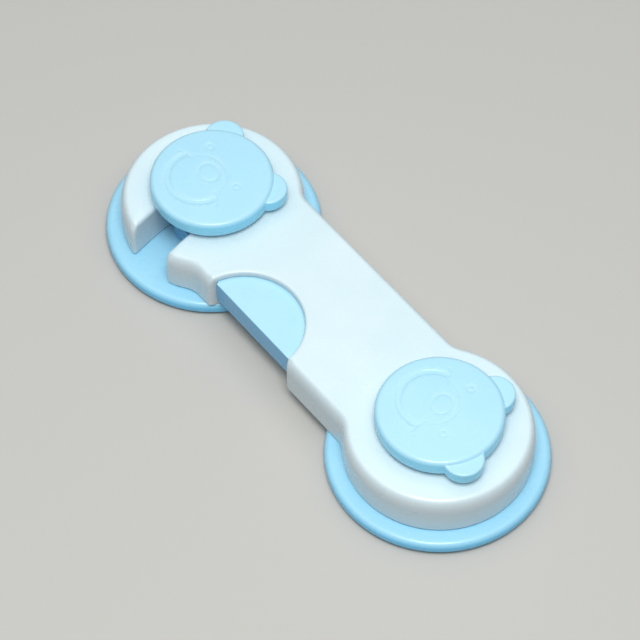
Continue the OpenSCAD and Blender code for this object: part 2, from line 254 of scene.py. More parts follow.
def closed(bm):
    """Merges the seams of a mesh and turns its faces outwards."""
    bmesh.ops.remove_doubles(bm, verts=bm.verts, dist=SAME)
    bmesh.ops.recalc_face_normals(bm, faces=bm.faces)
    return bm


def applied(made):
    """The mesh of an object with its modifiers applied."""
    return bpy.data.meshes.new_from_object(made.evaluated_get(bpy.context.evaluated_depsgraph_get()))


def piece(name, bm, material, body, node, sharp=38):
    """Makes an object from a mesh in millimetres, smooths it, and gives it its place in the frame."""
    bmesh.ops.remove_doubles(bm, verts=bm.verts, dist=SAME)
    edges = edge_values(bm)
    for f in bm.faces:
        f.smooth = True
    for e in bm.edges:
        e.smooth = e.calc_face_angle(0) < math.radians(sharp)
    bmesh.ops.scale(bm, vec=(MM, MM, MM), verts=bm.verts)
    mesh = bpy.data.meshes.new(name)
    bm.to_mesh(mesh)
    bm.free()
    mesh.attributes.new("edge", "FLOAT", "POINT").data.foreach_set("value", edges)
    mesh.materials.append(material)
    made = placed(name, mesh)
    level = made.modifiers.new("level", "WEIGHTED_NORMAL")
    level.keep_sharp = True
    made.data = applied(made)
    made.modifiers.remove(level)
    bpy.data.meshes.remove(mesh)
    made.data.name = name
    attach(made, body)
    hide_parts(node)
    print(name, "faces:", len(made.data.polygons))
    return made


def lathe(bm, profile, steps, centre=(0, 0)):
    """Turns a profile of (radius, height) about an upright axis. Its ends lie on the axis or close it."""
    rings = []
    for r, z in profile:
        if r < 1e-6:
            rings.append([bm.verts.new((centre[0], centre[1], z))] * steps)
        else:
            turns = [2 * math.pi * i / steps for i in range(steps)]
            rings.append([bm.verts.new((centre[0] + r * math.cos(a), centre[1] + r * math.sin(a), z))
                          for a in turns])
    for low, high in zip(rings, rings[1:]):
        for i in range(steps):
            j = (i + 1) % steps
            corners = list(dict.fromkeys((low[i], low[j], high[j], high[i])))
            if len(corners) > 2:
                bm.faces.new(corners)
    return rings


def arc(r, z, radius, a0, a1, n):
    """Points of (radius, height) on a quarter of a rounded edge."""
    turns = [math.radians(a0 + (a1 - a0) * i / n) for i in range(n + 1)]
    return [(r + radius * math.cos(a), z + radius * math.sin(a)) for a in turns]


print("helpers ready for", len(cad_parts), "nodes")

# %% [markdown]
# ## The arm
# The arm is one white moulding: two round ends, a waist, a hook slot swung about the far post, and a
# half-round finger cut. Its outer top edge has a tall soft round, its cuts a smaller one, and these rounds
# run into each other at the corners of the hook mouth. Bevelling a cut solid there leaves creases, so the
# outside is written as a field instead: a formula that is below zero inside the plastic. Where two such
# formulas are joined by a soft maximum, the edge between them comes out round by itself.

# %% The arm as a field, in millimetres
POST = 40.5                             # each post, from the middle
ARM_R, WAIST, HOLLOW = 21.1, 16.1, 6.0  # round ends, half waist, hollow corners
ARM_LOW, ARM_TOP = 3.9, 14.0            # skirt and top
EDGE, EDGE_TALL = 1.7, 3.8              # width and height of the round of the top edge
SLOT, SEAT = 5.15, 5.3                  # half width of the hook slot, and its round seat
CUT_X, CUT_Y, CUT_R = -16.9, 7.0, 13.7  # finger cut
CORNER, LIP = 1.2, 1.5                  # softness of upright corners and top edge at the hook slot
FINGER_CORNER, FINGER_LIP = 1.4, 0.8    # the same at the finger cut

HOLLOW_X = WAIST + HOLLOW
HOLLOW_Y = math.sqrt((ARM_R + HOLLOW) ** 2 - HOLLOW_X ** 2)


def soft_max(a, b, k):
    """The larger of two values, blended over a width k where they are close."""
    return np.maximum(a, b) + np.maximum(k - np.abs(a - b), 0) ** 2 / (4 * k)


def arm_depth(x, y):
    """How far a point lies inside the arm's plan, before the cuts."""
    x, y = np.abs(x), POST - np.abs(y)
    end, hollow = ARM_R - np.hypot(x, y), np.hypot(x - HOLLOW_X, y - HOLLOW_Y) - HOLLOW
    return np.where(y >= HOLLOW_Y, WAIST - x, np.where(y * HOLLOW_X > x * HOLLOW_Y, hollow, end))


def cut_distances(x, y):
    """How far a point lies from the hook slot, and from the finger cut."""
    swung = np.abs(np.hypot(x, y + POST) - 2 * POST) - SLOT
    ahead = np.hypot(x, np.maximum(np.abs(y - POST) - SLOT, 0))
    seat = np.hypot(x, y - POST) - SEAT
    finger = np.hypot(x - CUT_X, y - CUT_Y) - CUT_R
    return np.minimum(np.where(x < 0, swung, ahead), seat), finger


def rounded(depth, z, top, wide, tall):
    """Field of an upright solid whose top edge is a quarter of an oval."""
    a, b = 1 - depth / wide, 1 - (top - z) / tall
    bend = np.hypot(a, b)
    curved = (bend - 1) * bend / np.maximum(np.hypot(a / wide, b / tall), 1e-9)
    flat = np.maximum(-depth, z - top)
    return np.where((a > 0) & (b > 0), np.maximum(curved, flat), flat)


def arm_field(x, y, z):
    """Field of the arm's outside: its rounded plan, less the hook slot and the finger cut."""
    slot, finger = cut_distances(x, y)
    low = np.clip((ARM_TOP - z) / EDGE_TALL, 0, 1)
    corner, lip = np.where(slot < finger, CORNER, FINGER_CORNER), np.where(slot < finger, LIP, FINGER_LIP)
    softness = low * corner + (1 - low) * lip
    whole = rounded(arm_depth(x, y), z, ARM_TOP, EDGE, EDGE_TALL)
    return soft_max(whole, -np.minimum(slot, finger), softness)


print("arm field beside its middle:", round(float(arm_field(np.array(5.0), np.array(0.0), np.array(9.0))), 2))


# %% Points on a field
PLAN_STEP = 0.25  # mm between the points of a first outline


def polar(r, degrees):
    """Place at a distance and a direction from the origin."""
    return r * math.cos(math.radians(degrees)), r * math.sin(math.radians(degrees))


def sweep(cx, cy, r, a0, a1):
    """Points along an arc."""
    turns = np.radians(np.linspace(a0, a1, max(int(r * abs(math.radians(a1 - a0)) / PLAN_STEP), 2)))
    return np.stack([cx + r * np.cos(turns), cy + r * np.sin(turns)], 1)


def slope(points, field):
    """Direction in which a field of the plan grows, at each point."""
    h = 1e-4
    x, y = points.T
    return np.stack([field(x + h, y) - field(x - h, y), field(x, y + h) - field(x, y - h)], 1) / (2 * h)


def settle(points, field):
    """Moves points to where the field is zero."""
    for _ in range(8):
        g = slope(points, field)
        points = points - g * (field(*points.T) / np.maximum((g ** 2).sum(1), 1e-6))[:, None]
    return points


def even(points, step):
    """The same closed outline with evenly spaced points."""
    ring = np.vstack([points, points[:1]])
    along = np.concatenate([[0], np.cumsum(np.hypot(*np.diff(ring, axis=0).T))])
    marks = np.linspace(0, along[-1], int(along[-1] / step), endpoint=False)
    return np.stack([np.interp(marks, along, ring[:, k]) for k in (0, 1)], 1)


def height(points, field, low, high):
    """Height at which the field is zero above each point."""
    low, high = np.full(len(points), low), np.full(len(points), high)
    for _ in range(40):
        mid = (low + high) / 2
        inside = field(points[:, 0], points[:, 1], mid) < 0
        low, high = np.where(inside, mid, low), np.where(inside, high, mid)
    return low


middle = height(np.array([[5.0, 0.0]]), arm_field, ARM_LOW, ARM_TOP + 1)[0]
print("height of the arm beside its middle:", round(float(middle), 2))

# %% From a field to a moulding
OUTLINE_STEP = 0.3                    # mm between the points of a finished outline
ROWS = (0.004, 0.03, 0.1, 0.22, 0.4)  # mm from the outline, closer where the edge is steep
LOOSE_ROWS = (0.65, 1.0)              # mm: rows that lie free on the top
CLEAR, SLACK = 0.7, 0.02              # mm that loose points keep from the outline, tolerance
FOOT_TURNS = (0, 18, 36, 54, 72, 90)  # degrees along the round of the lower edge
INSIDE, TINY = 1, 1e-7                # triangles only inside the outline, and their tolerance in mm


def moulding(start, field, low, low_edge, wall, high, extra, relief=None):
    """A closed solid: walls under the outline of a field, and a top that follows the field.

    The wall goes from low, with a round of low_edge, to the height wall, where the outline is taken. The top
    lies between wall and high. Extra points refine it, and relief gives a height to add at each point.
    """
    outline = even(settle(start, lambda x, y: field(x, y, wall)), OUTLINE_STEP)
    outline = settle(outline, lambda x, y: field(x, y, wall))
    outward = slope(outline, lambda x, y: field(x, y, wall))
    outward /= np.hypot(*outward.T)[:, None]
    n = len(outline)
    loops = []
    for t in np.radians(FOOT_TURNS):
        loops.append((outline - outward * low_edge * (1 - math.sin(t)),
                      np.full(n, low + low_edge * (1 - math.cos(t)))))
    loops.append((outline, np.full(n, wall)))
    for row in ROWS:
        inner = outline - outward * row
        loops.append((inner, height(inner, field, wall, high)))
    bm = bmesh.new()
    rings = [[bm.verts.new((x, y, z)) for (x, y), z in zip(*loop)] for loop in loops]
    for a, b in zip(rings, rings[1:]):
        for i in range(n):
            bm.faces.new((a[i], a[(i + 1) % n], b[(i + 1) % n], b[i]))
    bm.faces.new(rings[0][::-1])
    plan = [loops[-1][0]]
    for row, points in [(d, outline - outward * d) for d in LOOSE_ROWS] + [(CLEAR, extra)]:
        plan.append(points[field(points[:, 0], points[:, 1], np.full(len(points), wall)) < SLACK - row])
    plan = np.vstack(plan)
    tops = height(plan, field, wall, high)
    if relief:
        tops = tops + relief(plan)
    found = delaunay_2d_cdt([Vector(p) for p in plan], [], [list(range(n))], INSIDE, TINY)
    corner = {}
    for new, old in enumerate(found[3]):
        corner[new] = rings[-1][old[0]] if old[0] < n else bm.verts.new((*plan[old[0]], tops[old[0]]))
    for face in found[2]:
        bm.faces.new([corner[i] for i in face])
    bmesh.ops.recalc_face_normals(bm, faces=bm.faces)
    return bm


print("fixed rows round a top:", len(ROWS), "loose rows:", len(LOOSE_ROWS))

# %% Outline of the arm
near, away = 2 * POST - SLOT, 2 * POST + SLOT  # radii of the slot walls about the pivot post
hollow_lean = math.degrees(math.atan2(HOLLOW_Y, HOLLOW_X))
mouth = {s: math.degrees(math.acos(((2 * POST) ** 2 + s ** 2 - ARM_R ** 2) / (4 * POST * s)))
         for s in (near, away)}
cut_reach = math.degrees(math.acos((CUT_X + WAIST) / -CUT_R))


def mouth_turn(s):
    """Direction from the catch post to the corner where the slot wall of radius s leaves the round end."""
    turn = math.radians(mouth[s])
    return math.degrees(math.atan2(s * math.cos(turn) - 2 * POST, -s * math.sin(turn))) % 360


def straight(x, y0, y1):
    """Points along a straight side."""
    return [[x, y] for y in np.arange(y0, y1, math.copysign(PLAN_STEP, y1 - y0))]


arm_plan = np.vstack([
    straight(WAIST, HOLLOW_Y - POST, POST - HOLLOW_Y),
    sweep(HOLLOW_X, POST - HOLLOW_Y, HOLLOW, 180, 180 - hollow_lean),
    sweep(0, POST, ARM_R, -hollow_lean, mouth_turn(away)),
    sweep(0, -POST, away, 90 + mouth[away], 90),
    sweep(0, POST, SEAT, 90, -90),
    sweep(0, -POST, near, 90, 90 + mouth[near]),
    sweep(0, POST, ARM_R, mouth_turn(near), 180 + hollow_lean),
    sweep(-HOLLOW_X, POST - HOLLOW_Y, HOLLOW, hollow_lean, 0),
    straight(-WAIST, POST - HOLLOW_Y, CUT_Y + CUT_R),
    sweep(CUT_X, CUT_Y, CUT_R, 180 - cut_reach, cut_reach - 180),
    straight(-WAIST, CUT_Y - CUT_R, HOLLOW_Y - POST),
    sweep(-HOLLOW_X, HOLLOW_Y - POST, HOLLOW, 0, -hollow_lean),
    sweep(0, -POST, ARM_R, 180 - hollow_lean, 360 + hollow_lean),
    sweep(HOLLOW_X, HOLLOW_Y - POST, HOLLOW, 180 + hollow_lean, 180)])
print("points round the arm:", len(arm_plan))

# %% Outside of the arm
ARM_FOOT = 0.35                               # mm: round of the skirt's lower edge
AT_RIM = 0.3                                  # mm: points this near the uncut outline are in no cut
ROUND_ROWS = (0.8, 1.2, 1.5, 1.75, 2.2, 3.0)  # mm from the rim: points on the round and beside it
ABOVE, BELOW = 0.01, 0.2                      # mm: a top is looked for from BELOW its round to ABOVE it

rim = settle(arm_plan[arm_depth(*arm_plan.T) < AT_RIM], lambda x, y: -arm_depth(x, y))
inward = -slope(rim, lambda x, y: -arm_depth(x, y))
inward /= np.hypot(*inward.T)[:, None]
round_points = np.vstack([(rim + inward * d)[::3] for d in ROUND_ROWS])
arm_wall = ARM_TOP - EDGE_TALL - BELOW
arm = moulding(arm_plan, arm_field, ARM_LOW, ARM_FOOT, arm_wall, ARM_TOP + ABOVE, round_points)
print("outside of the arm, faces:", len(arm.faces))

# %% [markdown]
# ## Inside of the arm
# Seen from below, the arm is a shell. A skirt runs round it, an eye stands round the pivot post, walls line
# the hook slot, and a bulkhead takes the spring. These are square-cut hollows, so a boolean cuts them in one
# go. The tool is the empty room under the top wall, less everything that stands in it.


# %% Carving
def prism(plan, low, high):
    """An upright solid on an outline."""
    bm = bmesh.new()
    floor_ring, roof_ring = [[bm.verts.new((x, y, z)) for x, y in plan] for z in (low, high)]
    for i in range(len(plan)):
        j = (i + 1) % len(plan)
        bm.faces.new((floor_ring[i], floor_ring[j], roof_ring[j], roof_ring[i]))
    bm.faces.new(floor_ring[::-1])
    bm.faces.new(roof_ring)
    bmesh.ops.recalc_face_normals(bm, faces=bm.faces)
    return bm


def carve(bm, tool, operation="DIFFERENCE"):
    """Cuts one mesh from another, or joins it on, with the exact boolean."""
    pair = []
    for part in (bm, tool):
        mesh = bpy.data.meshes.new("carving")
        part.to_mesh(mesh)
        part.free()
        pair.append(placed("carving", mesh))
    cut = pair[0].modifiers.new("cut", "BOOLEAN")
    cut.operation, cut.solver, cut.object = operation, "EXACT", pair[1]
    carved = applied(pair[0])
    result = bmesh.new()
    result.from_mesh(carved)
    for mesh in [carved] + [made.data for made in pair]:
        bpy.data.meshes.remove(mesh)
    return result


def circle(x, y, r):
    """Outline of a round hole, eye or boss."""
    return sweep(x, y, r, 0, 360)[:-1]


def oblong(x0, x1, y0, y1):
    """Outline of a straight wall or window."""
    return [(x0, y0), (x1, y0), (x1, y1), (x0, y1)]


def box_mm(node):
    """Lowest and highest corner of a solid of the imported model."""
    return [[c / MM for c in p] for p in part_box(node)]


print("space for the spring in mm:", [round(c, 1) for p in box_mm("return_spring") for c in p])

# %% Sizes under the top wall
SKIRT, RIB, CEILING = 2.0, 1.6, 12.6             # walls, and the underside of the top wall
COVER, NOSE, PLATE = 1.0, 4.5, 8.2               # cover, bolt nose, underside of the button plate
EYE, EYE_WALL, BOSS, HEAD = 5.1, 2.4, 2.3, 1.85  # bore and wall of the eye, screw bosses and heads
GUIDE, RIB_SHARE, RIB_LIFT = 15.29, 0.7, 1.0     # guides from the cut's middle, ribs beside the eye
PEG_R, PEG_LONG, BITE = 0.9, 2.8, 0.5            # peg in the spring, and its root in the bulkhead
PILOT_R, PILOT_DEEP = 1.0, 5.2                   # holes for the cover screws
SLIDE, WINDOW_IN, WINDOW_OUT = 0.2, 3.0, 4.5     # gap round the bolt, ends of its window by wall and post
WALL_TURNS = (108, 110)                          # degrees, where the slot walls have left the arm

spring_low, spring_high = box_mm("return_spring")
screw_low, screw_high = box_mm("cover_screws")
nose_low, nose_high = box_mm("latch_bolt")
spring_x, spring_z = (spring_low[0] + spring_high[0]) / 2, (spring_low[2] + spring_high[2]) / 2
screw_x, screw_y = -screw_low[0] - HEAD, screw_low[1] + HEAD
cover_holes = [(-screw_x, screw_y), (screw_x, screw_y), (screw_high[0] - HEAD, screw_high[1] - HEAD)]
bulkhead, guide = CUT_Y - GUIDE, CUT_Y + GUIDE
inner, half = ARM_R - SKIRT, WAIST - SKIRT
opening = math.degrees(math.acos(half / inner))
floor_z = ARM_LOW + COVER
print("cover screws at:", [(round(x, 1), round(y, 1)) for x, y in cover_holes])

# %% Room under the top wall
room = prism(np.vstack([sweep(0, POST, inner, -opening, 180 + opening),
                        sweep(0, -POST, inner, 180 - opening, 360 + opening)]), ARM_LOW - 1, CEILING)
standing = [
    (circle(0, -POST, EYE + EYE_WALL), 0),
    (np.vstack([sweep(0, -POST, away + RIB, 90, WALL_TURNS[0]),
                sweep(0, -POST, near - RIB, WALL_TURNS[1], 90)]), 0),
    (circle(0, POST, SEAT + RIB), 0),
    (oblong(-WAIST, WAIST, bulkhead - RIB, bulkhead), floor_z),
    (oblong(-WAIST, CUT_X + CUT_R + RIB, guide, guide + RIB), PLATE)]
standing += [(oblong(x - RIB / 2, x + RIB / 2, EYE + EYE_WALL / 2 - POST, bulkhead - 1), floor_z + RIB_LIFT)
             for x in (-RIB_SHARE * EYE, RIB_SHARE * EYE)]
standing += [(circle(x, y, BOSS), floor_z) for x, y in cover_holes]
for plan, low in standing:
    room = carve(room, prism(plan, low, ARM_TOP))

peg = prism(circle(spring_x, spring_z, PEG_R), bulkhead - BITE, bulkhead + PEG_LONG)
for v in peg.verts:
    v.co = v.co.xzy
bmesh.ops.recalc_face_normals(peg, faces=peg.faces)
room = carve(room, peg)

holes = [(circle(x, y, PILOT_R), 0, floor_z + PILOT_DEEP) for x, y in cover_holes]
holes += [(circle(0, -POST, EYE), 0, ARM_TOP + 1)]
window = oblong(nose_low[0] - SLIDE, nose_low[0] + NOSE + SLIDE,
                near - RIB - POST - WINDOW_IN, POST - WINDOW_OUT)
holes += [(window, nose_low[2] - SLIDE, nose_high[2] + SLIDE)]
for plan, low, high in holes:
    room = carve(room, prism(plan, low, high), "UNION")
arm = carve(arm, room)
print("arm with its hollows, faces:", len(arm.faces))

piece("arm_moulding", arm, white_abs, "arm", "arm_shell")

# %% [markdown]
# ## The bear-head caps
# A cap is a shallow shell with a slightly domed face and two ears set lower, so that the rim of the face
# runs on across them. On the face a thin line draws a smiling bear: muzzle, nose, mouth and eyes, each a
# shallow groove. The head and ears are joined as fields, like the arm, which leaves a small fillet between.
# A bump in the material could draw the lines too, but the mesh would stay bare. So the grooves lower the
# points of the top, which lie closer together along them.

# %% Cap as a field, in millimetres
CAP_LOW, CAP_RIM, CAP_R = 15.0, 19.4, 14.2  # lower edge, edge of the face, radius
CROWN, DOME, CAP_FOOT = 1.2, 0.4, 1.3       # round of the face, its rise, round of the lower edge
EAR_R, EAR_TOP, EAR_ROUND = 4.6, 18.7, 0.5
EAR_REACH, EAR_TURN = 12.9, 45                    # ears from the middle, and degrees from the crown
CREASE = 0.12                                     # fillet between head and ears
CHIN, TILT = (-1.4, -2.4), math.radians(5)        # middle of the smile on the face, and the face's turn
LINE, DEEP, WALL = 0.38, 0.09, 0.35               # half width, depth and wall of the drawn lines
SMILE, SMILE_WIDE, SMILE_DEEP = 7.35, 0.75, 0.15  # radius, half width and depth of the smile
NOSE_AT, NOSE_A, NOSE_B = 2.4, 2.65, 2.15         # height above the chin, and half sizes of the nose
NOSE_RISE = 0.05                                  # height of the nose above the face
BROW_A, BROW_B, BROW_AT = 5.0, 3.8, 2.4           # half sizes of the line over the nose, and its lower end
CORNER_ENDS = (5.7, 1.1, 9.2, -0.35)              # x and y of both ends of the stroke at a mouth corner
CHEEK_ENDS = (4.3, 4.6, 6.7, 1.0)                 # the same for the stroke on a cheek
EYE_X, EYE_Y, EYE_R = 6.6, 6.1, 0.75

ear_place = [polar(EAR_REACH, 90 + side * EAR_TURN) for side in (-1, 1)]


def cap_field(x, y, z):
    """Field of a cap whose middle is the origin and whose crown points to +Y."""
    r = np.hypot(x, y)
    dome = DOME * np.maximum(1 - (r / (CAP_R - CROWN)) ** 2, 0)
    joined = -rounded(CAP_R - r, z, CAP_RIM + dome, CROWN, CROWN)
    for ear_x, ear_y in ear_place:
        out = np.hypot(x - ear_x, y - ear_y)
        joined = soft_max(joined, -rounded(EAR_R - out, z, EAR_TOP, EAR_ROUND, EAR_ROUND), CREASE)
    return -joined


crown_top = height(np.zeros((1, 2)), cap_field, CAP_LOW, CAP_RIM + DOME + ABOVE)[0]
print("height of a cap at its middle:", round(float(crown_top), 2))


# %% The bear's face as shallow lines
def stroke(x, y, x0, y0, x1, y1):
    """Distance from a straight stroke."""
    t = np.clip(((x - x0) * (x1 - x0) + (y - y0) * (y1 - y0)) / ((x1 - x0) ** 2 + (y1 - y0) ** 2), 0, 1)
    return np.hypot(x - x0 - t * (x1 - x0), y - y0 - t * (y1 - y0))


def oval(x, y, a, b):
    """About how far a point lies outside an oval round the origin."""
    return (np.hypot(x / a, y / b) - 1) * min(a, b)


def groove(distance, half_width, depth):
    """Depth of a line with sloping walls at a distance from its middle."""
    inside = np.clip((half_width - distance) / WALL, 0, 1)
    return -depth * inside ** 2 * (3 - 2 * inside)


def face_relief(plan):
    """Height of the face above the plain dome: smile, mouth corners, nose, brow line, cheeks and eyes."""
    x, y = plan[:, 0] - CHIN[0], plan[:, 1] - CHIN[1]
    x, y = x * math.cos(TILT) - y * math.sin(TILT), x * math.sin(TILT) + y * math.cos(TILT)
    smile = np.where(y < 0, np.abs(np.hypot(x, y) - SMILE), np.hypot(np.abs(x) - SMILE, y))
    nose = oval(x, y - NOSE_AT, NOSE_A, NOSE_B)
    brow = np.abs(oval(x, y - NOSE_AT, BROW_A, BROW_B)) + np.maximum(NOSE_AT + BROW_AT - y, 0)
    corners = stroke(np.abs(x), y, *CORNER_ENDS)
    cheeks = stroke(np.abs(x), y, *CHEEK_ENDS)
    eyes = np.hypot(np.abs(x) - EYE_X, y - EYE_Y)
    lines = np.minimum.reduce([np.abs(nose), brow, corners, np.abs(eyes - EYE_R)])
    cut = np.minimum(groove(lines, LINE, DEEP), groove(smile, SMILE_WIDE, SMILE_DEEP))
    return np.minimum(cut, groove(cheeks, LINE, DEEP / 3)) + NOSE_RISE * np.clip(-nose, 0, 1)


print("smile in mm:", round(float(face_relief(np.array([[CHIN[0], CHIN[1] - SMILE]]))[0]), 2))


# %% Outline and points of a cap
FINE, COARSE = 0.16, 0.9       # mm between points along the lines and elsewhere
FINE_IN, COARSE_IN = 1.3, 1.4  # mm that these points keep from the edge of the head
RIM_RINGS = (*np.arange(-1.1, -0.3, 0.11), *np.arange(-0.25, 0.3, 0.05), 0.45)  # mm out from the head's edge
EAR_RINGS = (0.7, 1.6, 2.8)                                                     # mm in from an ear's edge


def grid(step, reach):
    """Points of a square grid within a circle."""
    marks = np.arange(-reach, reach, step)
    points = np.stack(np.meshgrid(marks, marks), -1).reshape(-1, 2)
    return points[np.hypot(*points.T) < reach]


ear_meet = math.degrees(math.acos((CAP_R ** 2 + EAR_REACH ** 2 - EAR_R ** 2) / (2 * CAP_R * EAR_REACH)))
meet_x, meet_y = polar(CAP_R, ear_meet)
ear_lean = math.degrees(math.atan2(meet_y, meet_x - EAR_REACH))
right, left = 90 - EAR_TURN, 90 + EAR_TURN
cap_plan = np.vstack([
    sweep(*ear_place[0], EAR_R, right - ear_lean, right + ear_lean),
    sweep(0, 0, CAP_R, right + ear_meet, left - ear_meet),
    sweep(*ear_place[1], EAR_R, left - ear_lean, left + ear_lean),
    sweep(0, 0, CAP_R, left + ear_meet, 360 + right - ear_meet)])
drawn = grid(FINE, CAP_R - FINE_IN)
cap_points = np.vstack(
    [drawn[face_relief(drawn) != 0], grid(COARSE, CAP_R - COARSE_IN)]
    + [circle(0, 0, CAP_R + d) for d in RIM_RINGS]
    + [np.array(p) + circle(0, 0, EAR_R - d) for p in ear_place for d in EAR_RINGS])
print("points on a cap:", len(cap_points))

# %% Caps with sockets and screw pegs
CAP_WALL, CAP_WALL_LOW = 1.8, 1.5                    # wall and roof; upright wall below the top of the ears
SOCKET_IN, SOCKET_OUT, SOCKET_GAP = 5.05, 6.65, 0.3  # ring round the post, and its gap to the arm
CAP_PEG, CAP_PEG_LOW = 2.45, 6.6                     # peg for the cap screw
CAP_PILOT, CAP_PILOT_TOP = 1.55, 13.3                # hole in the peg
ROOF_BITE = 0.4                                      # how far ring and peg run up into the roof
WIDE_STEPS, PEG_STEPS = 96, 48


def bear_cap(name, y, body, node, turn):
    """One cap on its post, turned by degrees, hollow below, with its socket and screw peg."""
    bm = moulding(cap_plan, cap_field, CAP_LOW, CAP_FOOT, EAR_TOP - CAP_WALL_LOW, CAP_RIM + DOME + ABOVE,
                  cap_points, face_relief)
    roof = CAP_RIM - CAP_WALL
    root, below, ring_low = roof + ROOF_BITE, CAP_LOW - 1, ARM_TOP + SOCKET_GAP
    hollow = bmesh.new()
    for r0, r1 in ((CAP_PEG, SOCKET_IN), (SOCKET_OUT, CAP_R - CAP_WALL)):
        lathe(hollow, [(r0, below), (r1, below), (r1, roof), (r0, roof), (r0, below)], WIDE_STEPS)
    bm = carve(bm, closed(hollow))
    inside = bmesh.new()
    lathe(inside, [(SOCKET_IN, ring_low), (SOCKET_OUT, ring_low), (SOCKET_OUT, root), (SOCKET_IN, root),
                   (SOCKET_IN, ring_low)], WIDE_STEPS)
    lathe(inside, [(CAP_PILOT, CAP_PEG_LOW), (CAP_PEG, CAP_PEG_LOW), (CAP_PEG, root), (0, root)], PEG_STEPS)
    lathe(inside, [(0, CAP_PILOT_TOP), (CAP_PILOT, CAP_PILOT_TOP), (CAP_PILOT, CAP_PEG_LOW)], PEG_STEPS)
    bm = carve(bm, closed(inside), "UNION")
    a = math.radians(turn - 90)
    for v in bm.verts:
        x, z = v.co.x, v.co.z
        v.co = (x * math.cos(a) - v.co.y * math.sin(a), y + x * math.sin(a) + v.co.y * math.cos(a), z)
    return piece(name, bm, cap_abs, body, node, sharp=50)


bear_cap("pivot_bear_cap", -POST, "pivot", "pivot_cap", turn=-62)
bear_cap("catch_bear_cap", POST, "catch", "catch_cap", turn=-5)

# %% [markdown]
# ## The base discs
# Each disc and its post are one turned shape, so a profile is spun about the post. The rim has a broad
# round above and a smaller one below, and the post stands on a small fillet, which a mould needs there.

# %% Discs with posts
BASE_LOW, BASE_TOP, BASE_R, RIM = 0.8, 3.6, 24.99, 1.4  # RIM: round above, twice the one below
POST_R, POST_TOP, POST_ROUND, FILLET = 5.0, CAP_RIM - 2.0, 0.4, 0.25
HEAD_ROOM, HEAD_TOP = 3.2, 3.8                       # room for the head of the cap screw
SHANK_ROOM, SHANK_TOP, PEG_ROOM = 1.7, 6.3, 2.5      # hole for its shank, and hole for the cap's peg
TOP_RINGS, LOW_RINGS = (9, 14, 19, 22), (22, 16, 9)  # radii of the rings that keep the flats flat
DISC_STEPS = 192


def base_disc(name, y, body, node):
    """A disc with its post, hollow for the cap's peg above and the cap screw below."""
    bm = bmesh.new()
    profile = [(HEAD_ROOM, BASE_LOW), (HEAD_ROOM, HEAD_TOP), (SHANK_ROOM, HEAD_TOP), (SHANK_ROOM, SHANK_TOP),
               (PEG_ROOM, SHANK_TOP), (PEG_ROOM, POST_TOP)]
    profile += arc(POST_R - POST_ROUND, POST_TOP - POST_ROUND, POST_ROUND, 90, 0, 4)
    profile += arc(POST_R + FILLET, BASE_TOP + FILLET, FILLET, 180, 270, 3)
    profile += [(r, BASE_TOP) for r in TOP_RINGS]
    profile += arc(BASE_R - RIM, BASE_TOP - RIM, RIM, 90, 0, 10)
    profile += arc(BASE_R - RIM / 2, BASE_LOW + RIM / 2, RIM / 2, 0, -90, 5)
    profile += [(r, BASE_LOW) for r in (*LOW_RINGS, HEAD_ROOM)]
    lathe(bm, profile, DISC_STEPS, (0, y))
    return piece(name, closed(bm), disc_abs, body, node, sharp=40)


base_disc("pivot_disc", -POST, "pivot", "pivot_base")
base_disc("catch_disc", POST, "catch", "catch_base")

# %% [markdown]
# ## The foam pads
# A round pad of closed-cell foam tape sticks each disc to the furniture. Foam that is punched out bulges at
# its edge between two firmer faces, so its profile swells in the middle and its faces have soft dents.
# A cloth simulation would fill out a cushion, but tape this thin and firm takes only a turned profile.

# %% Foam and pads
PAD_R, PAD_T = 22.5, 0.8
CELL, CELL_DEEP, FOAM_PATCH = 0.6, 0.1, 9  # mm: real cells are near 0.2 wide, drawn larger to show
BULGE, PAD_EDGE = 0.12, 0.3                # mm: swelling of the edge, and where the faces end
DENT, DENT_WAVE = 0.02, 1.1                # mm: half depth of the dents; radians per mm
PAD_RINGS = (0, 3, 6, 9, 12, 15, 18, 20.5, PAD_R - PAD_EDGE)
PAD_STEPS = 128


def closed_cell_foam():
    """Dark polyethylene foam: matt, uneven in tone, and pitted where the punch has opened its cells, with
    painted shade in each pit.
    """
    made, tree, skin = blank("pe_foam_dark")
    skin.inputs["IOR"].default_value = 1.5
    skin.inputs["Specular IOR Level"].default_value = 0.2
    place = add(tree, "ShaderNodeTexCoord").outputs["Object"]
    cells = add(tree, "ShaderNodeTexVoronoi", {}, {"Vector": place, "Scale": 1 / (CELL * MM)})
    patches = add(tree, "ShaderNodeTexNoise", {},
                  {"Vector": place, "Scale": 1 / (FOAM_PATCH * MM), "Detail": 3})
    grey = add(tree, "ShaderNodeMix", {"data_type": "RGBA"},
               {0: patches.outputs["Fac"], 6: linear("#2c2d2f"), 7: linear("#414244")})
    # Painted shade: the colour darkens towards the middle of each cell, where the dents are deepest
    pit_shade = add(tree, "ShaderNodeMix", {"data_type": "RGBA", "blend_type": "MULTIPLY"},
               {0: 0.5, 6: grey.outputs[2], 7: cells.outputs["Distance"]})
    tree.links.new(pit_shade.outputs[2], skin.inputs["Base Color"])
    matt = add(tree, "ShaderNodeMapRange", {},
               {"Value": patches.outputs["Fac"], "To Min": 0.8, "To Max": 0.95})
    tree.links.new(matt.outputs["Result"], skin.inputs["Roughness"])
    dents = add(tree, "ShaderNodeBump", {},
                {"Strength": 0.6, "Distance": CELL_DEEP * MM, "Height": cells.outputs["Distance"]})
    tree.links.new(dents.outputs["Normal"], skin.inputs["Normal"])
    return made


